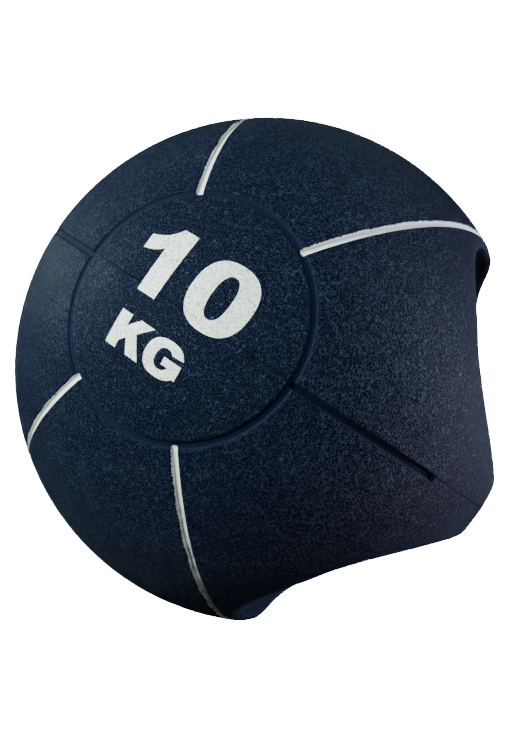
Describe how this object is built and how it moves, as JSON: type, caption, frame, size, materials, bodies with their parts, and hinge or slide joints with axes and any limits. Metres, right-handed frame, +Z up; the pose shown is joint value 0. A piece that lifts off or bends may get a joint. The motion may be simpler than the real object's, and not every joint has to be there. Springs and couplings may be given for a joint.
{
  "type": "dual-grip medicine ball",
  "caption": "Heavy rubber exercise ball with a recess moulded into each side and a waisted grip bar across each recess, white lines and a weight marking.",
  "frame": {"origin": "centre of the ball", "axes": "+X runs through the right-hand grip, -Y runs out through the front disc with the weight marking, and +Z is up as the marking reads. The mould's parting plane is Z = 0.00135, along the upper wall of the two bare grooves."},
  "size_m": [0.2826, 0.281, 0.28],
  "materials": {
    "navy_rubber": "moulded pebble grain, satin",
    "black_butyl": "matt",
    "plug_rubber": "smooth, satin",
    "white_line_paint": "brushed-on paint, satin",
    "white_ink": "printed ink film, matt"
  },
  "bodies": {
    "root": {"shell_upper": "navy_rubber", "shell_lower": "navy_rubber", "air_bladder": "black_butyl", "valve_tube": "black_butyl", "valve_plug": "plug_rubber", "paint_line_right_upper": "white_line_paint", "paint_line_left_upper": "white_line_paint", "paint_line_left_lower": "white_line_paint", "paint_line_right_lower": "white_line_paint", "front_digit_one": "white_ink", "front_digit_zero": "white_ink", "front_letter_k": "white_ink", "front_letter_g": "white_ink", "back_digit_one": "white_ink", "back_digit_zero": "white_ink", "back_letter_k": "white_ink", "back_letter_g": "white_ink"}
  },
  "joints": []
}
